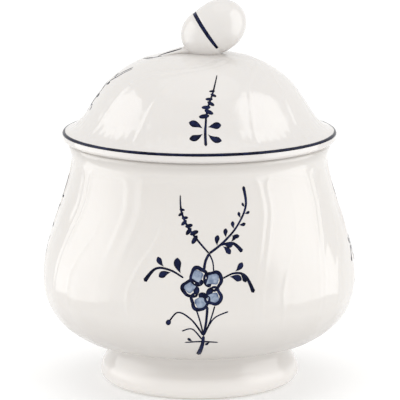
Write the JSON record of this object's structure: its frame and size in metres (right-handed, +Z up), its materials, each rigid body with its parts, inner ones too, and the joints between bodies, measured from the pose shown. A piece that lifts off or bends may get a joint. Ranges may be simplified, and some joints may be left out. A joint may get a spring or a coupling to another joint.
{
  "type": "sugar bowl",
  "caption": "Covered sugar bowl: a bellied body on a turned foot ring, with a lift-off domed lid that a tilted fruit-shaped knob lifts.",
  "frame": {"origin": "centre of the foot's contact ring, on the surface that the bowl stands on", "axes": "+Z up along the pot's axis and the way the lid lifts; +X towards the raised end of the knob; -Y is the front with the painted bouquet"},
  "size_m": [0.1, 0.1, 0.1227],
  "materials": {
    "porcelain_bowl": "clear gloss glaze over a warm white body",
    "porcelain_foot": "clear gloss glaze, wiped off the contact ring",
    "porcelain_lid": "clear gloss glaze over a warm white body",
    "porcelain_knob": "clear gloss glaze over a warm white body",
    "biscuit": "bare fired body, fine matt grain",
    "cobalt_paint": "dark blue painted decoration under the glaze",
    "cobalt_wash": "thin grey-blue wash under the glaze"
  },
  "bodies": {
    "bowl": {"bowl_body": "porcelain_bowl", "foot_ring": "porcelain_foot"},
    "lid": {"lid_dome": "porcelain_lid", "lid_flange": "biscuit", "lid_knob": "porcelain_knob", "knob_stalk": "porcelain_knob"}
  },
  "joints": [
    {"name": "lid_lift", "type": "slide", "parent": "bowl", "child": "lid", "axis": [0, 0, 1], "range_m": [0, 0.06]}
  ]
}
